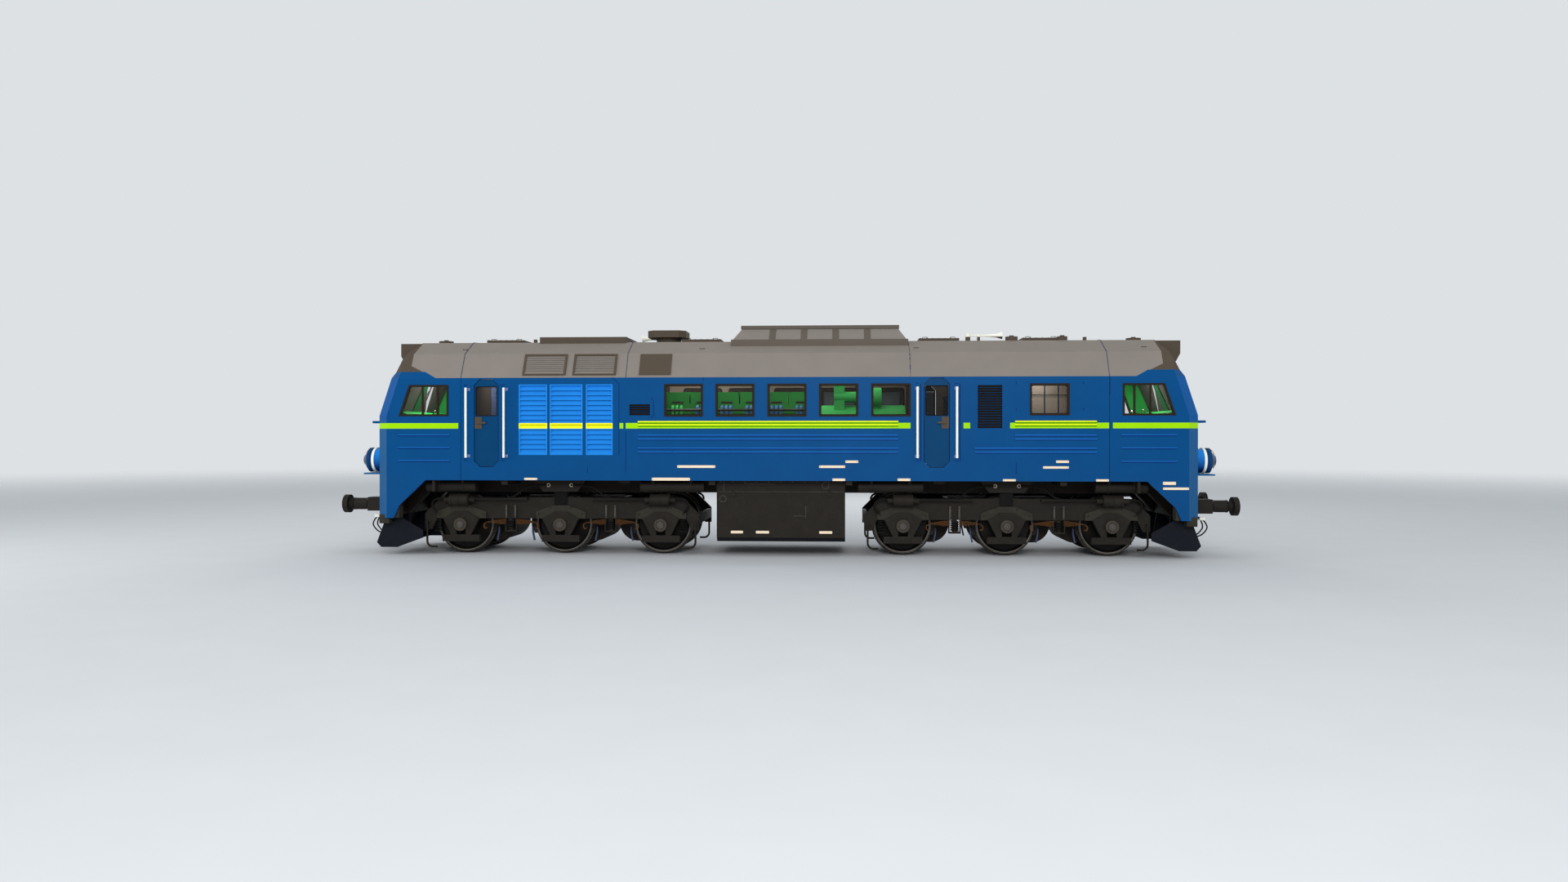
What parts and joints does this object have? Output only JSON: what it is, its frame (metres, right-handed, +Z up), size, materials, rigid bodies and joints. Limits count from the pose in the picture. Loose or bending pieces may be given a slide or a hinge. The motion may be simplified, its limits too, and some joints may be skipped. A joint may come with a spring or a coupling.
{
  "type": "diesel locomotive",
  "caption": "Full-size diesel locomotive with a cab at each end, side doors, roof fan and two swivelling bogies with driven wheelsets; runs on rails.",
  "frame": {"origin": "bottom centre of the bounding box: on the centre line at the middle of the length, level with the lowest point of the wheel flanges", "axes": "+X along the length towards the end with the rear wall window, +Y across to the side away from the camera, +Z up"},
  "size_m": [17.36, 3.138, 4.49],
  "materials": {
    "body_blue": "satin blue paint",
    "door_blue": "satin blue paint",
    "shutter_blue": "satin bright blue paint",
    "roof_grey": "matt warm grey paint",
    "roof_dark": "matt dark brown paint",
    "frame_dark": "matt dark paint",
    "chassis_dark": "matt black paint",
    "wheel_steel": "worn steel, bright treads",
    "spring_steel": "rusty spring steel",
    "rail_white": "gloss off-white paint",
    "lamp_dark": "satin dark paint",
    "lens_glass": "clear",
    "window_glass": "grey tinted",
    "engine_green": "gloss green enamel",
    "cabinet_brown": "satin grey-brown paint",
    "cab_green": "satin green paint",
    "seat_olive": "worn",
    "hose_rubber": "matt"
  },
  "bodies": {
    "body": {"air_hoses": "hose_rubber", "air_reservoirs": "chassis_dark", "buffer_housings": "chassis_dark", "buffer_plungers": "chassis_dark", "bulkheads": "cabinet_brown", "cab_a_shell": "body_blue", "cab_b_shell": "body_blue", "cab_roofs": "roof_grey", "cab_seats": "seat_olive", "draw_gear": "chassis_dark", "driving_desks": "cab_green", "electrical_cabinets": "cabinet_brown", "engine": "engine_green", "fan_housing": "roof_dark", "fuel_tank": "chassis_dark", "generator": "engine_green", "handrails": "rail_white", "horns": "rail_white", "lamp_housings": "lamp_dark", "lamp_lenses": "lens_glass", "radiator_cores": "frame_dark", "radiator_shutters": "shutter_blue", "roof_cooling": "roof_grey", "roof_engine": "roof_grey", "roof_fittings": "roof_dark", "roof_grilles": "roof_dark", "roof_monitor": "roof_dark", "roof_rear": "roof_grey", "side_louvres": "shutter_blue", "side_wall_far": "body_blue", "side_wall_near": "body_blue", "snow_ploughs": "chassis_dark", "underframe": "chassis_dark", "window_frames": "frame_dark", "window_panes": "window_glass"},
    "bogie_a": {"bogie_a_axle_boxes": "chassis_dark", "bogie_a_brake_gear": "chassis_dark", "bogie_a_frame": "chassis_dark", "bogie_a_motors": "chassis_dark", "bogie_a_springs": "spring_steel"},
    "bogie_b": {"bogie_b_axle_boxes": "chassis_dark", "bogie_b_brake_gear": "chassis_dark", "bogie_b_frame": "chassis_dark", "bogie_b_motors": "chassis_dark", "bogie_b_springs": "spring_steel"},
    "door_a_far": {"door_a_far": "door_blue"},
    "door_a_near": {"door_a_near": "door_blue"},
    "door_b_far": {"door_b_far": "door_blue"},
    "door_b_near": {"door_b_near": "door_blue"},
    "fan_rotor": {"fan_rotor": "roof_dark"},
    "wheelset_1": {"wheelset_1": "wheel_steel"},
    "wheelset_2": {"wheelset_2": "wheel_steel"},
    "wheelset_3": {"wheelset_3": "wheel_steel"},
    "wheelset_4": {"wheelset_4": "wheel_steel"},
    "wheelset_5": {"wheelset_5": "wheel_steel"},
    "wheelset_6": {"wheelset_6": "wheel_steel"}
  },
  "joints": [
    {"name": "bogie_a_swivel", "type": "hinge", "parent": "body", "child": "bogie_a", "pos_m": [-4.3, 0, 1.05], "axis": [0, 0, 1], "range_deg": [-3, 3]},
    {"name": "bogie_b_swivel", "type": "hinge", "parent": "body", "child": "bogie_b", "pos_m": [4.3, 0, 1.05], "axis": [0, 0, 1], "range_deg": [-3, 3]},
    {"name": "wheelset_1_spin", "type": "hinge", "parent": "bogie_a", "child": "wheelset_1", "pos_m": [-6.266, 0, 0.59], "axis": [0, 1, 0], "continuous": true},
    {"name": "wheelset_2_spin", "type": "hinge", "parent": "bogie_a", "child": "wheelset_2", "pos_m": [-4.3, 0, 0.59], "axis": [0, 1, 0], "continuous": true},
    {"name": "wheelset_3_spin", "type": "hinge", "parent": "bogie_a", "child": "wheelset_3", "pos_m": [-2.334, 0, 0.59], "axis": [0, 1, 0], "continuous": true},
    {"name": "wheelset_4_spin", "type": "hinge", "parent": "bogie_b", "child": "wheelset_4", "pos_m": [2.334, 0, 0.59], "axis": [0, 1, 0], "continuous": true},
    {"name": "wheelset_5_spin", "type": "hinge", "parent": "bogie_b", "child": "wheelset_5", "pos_m": [4.3, 0, 0.59], "axis": [0, 1, 0], "continuous": true},
    {"name": "wheelset_6_spin", "type": "hinge", "parent": "bogie_b", "child": "wheelset_6", "pos_m": [6.266, 0, 0.59], "axis": [0, 1, 0], "continuous": true},
    {"name": "fan_spin", "type": "hinge", "parent": "body", "child": "fan_rotor", "pos_m": [-3.924, 0, 4.03], "axis": [0, 0, 1], "continuous": true},
    {"name": "door_a_near_hinge", "type": "hinge", "parent": "body", "child": "door_a_near", "pos_m": [-5.397, -1.397, 2.5], "axis": [0, 0, 1], "range_deg": [-90, 0]},
    {"name": "door_b_near_hinge", "type": "hinge", "parent": "body", "child": "door_b_near", "pos_m": [2.703, -1.397, 2.5], "axis": [0, 0, 1], "range_deg": [0, 90]},
    {"name": "door_a_far_hinge", "type": "hinge", "parent": "body", "child": "door_a_far", "pos_m": [-5.397, 1.397, 2.5], "axis": [0, 0, 1], "range_deg": [0, 90]},
    {"name": "door_b_far_hinge", "type": "hinge", "parent": "body", "child": "door_b_far", "pos_m": [2.703, 1.397, 2.5], "axis": [0, 0, 1], "range_deg": [-90, 0]}
  ]
}
